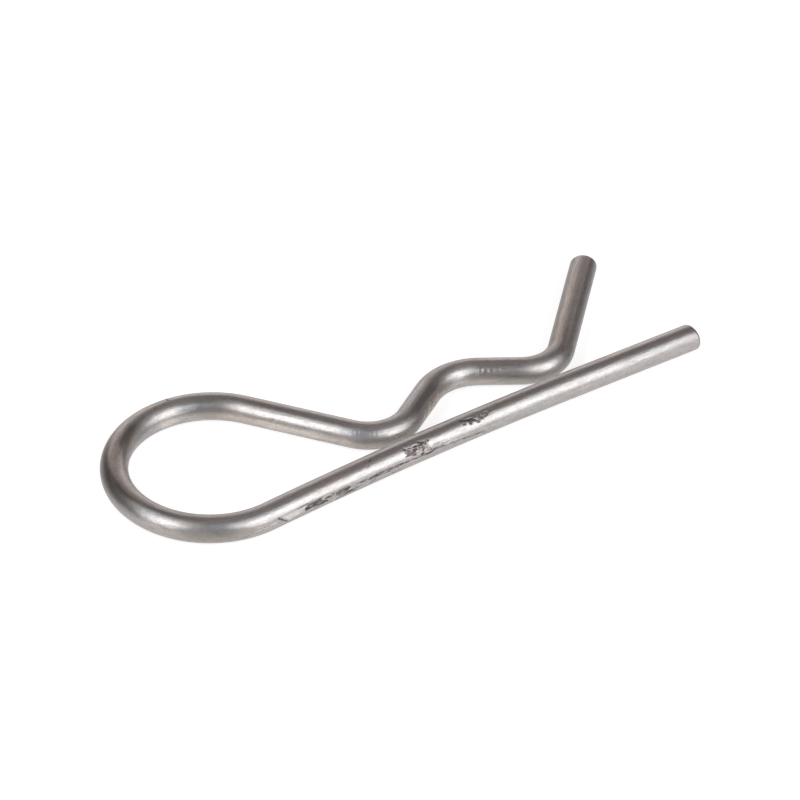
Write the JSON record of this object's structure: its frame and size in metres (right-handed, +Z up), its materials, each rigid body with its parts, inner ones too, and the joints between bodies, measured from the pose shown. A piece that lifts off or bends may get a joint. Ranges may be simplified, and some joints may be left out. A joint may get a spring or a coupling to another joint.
{
  "type": "hitch r clip pin",
  "caption": "Spring R clip bent from round wire: a straight leg goes through a pin's cross hole, a waved leg with a flared end hugs the pin, and a round loop pulls it out.",
  "frame": {"origin": "middle of the clip's length, on the line through the loop's middle, on the plane that it lies on", "axes": "+X along the straight leg towards its free tip, +Y to the side of the waved leg, +Z up out of the plane that it lies on"},
  "size_m": [0.0902, 0.0312, 0.004],
  "materials": {
    "spring_wire": "satin drawn stainless wire, lightly scuffed"
  },
  "bodies": {
    "root": {"clip": "spring_wire"}
  },
  "joints": []
}
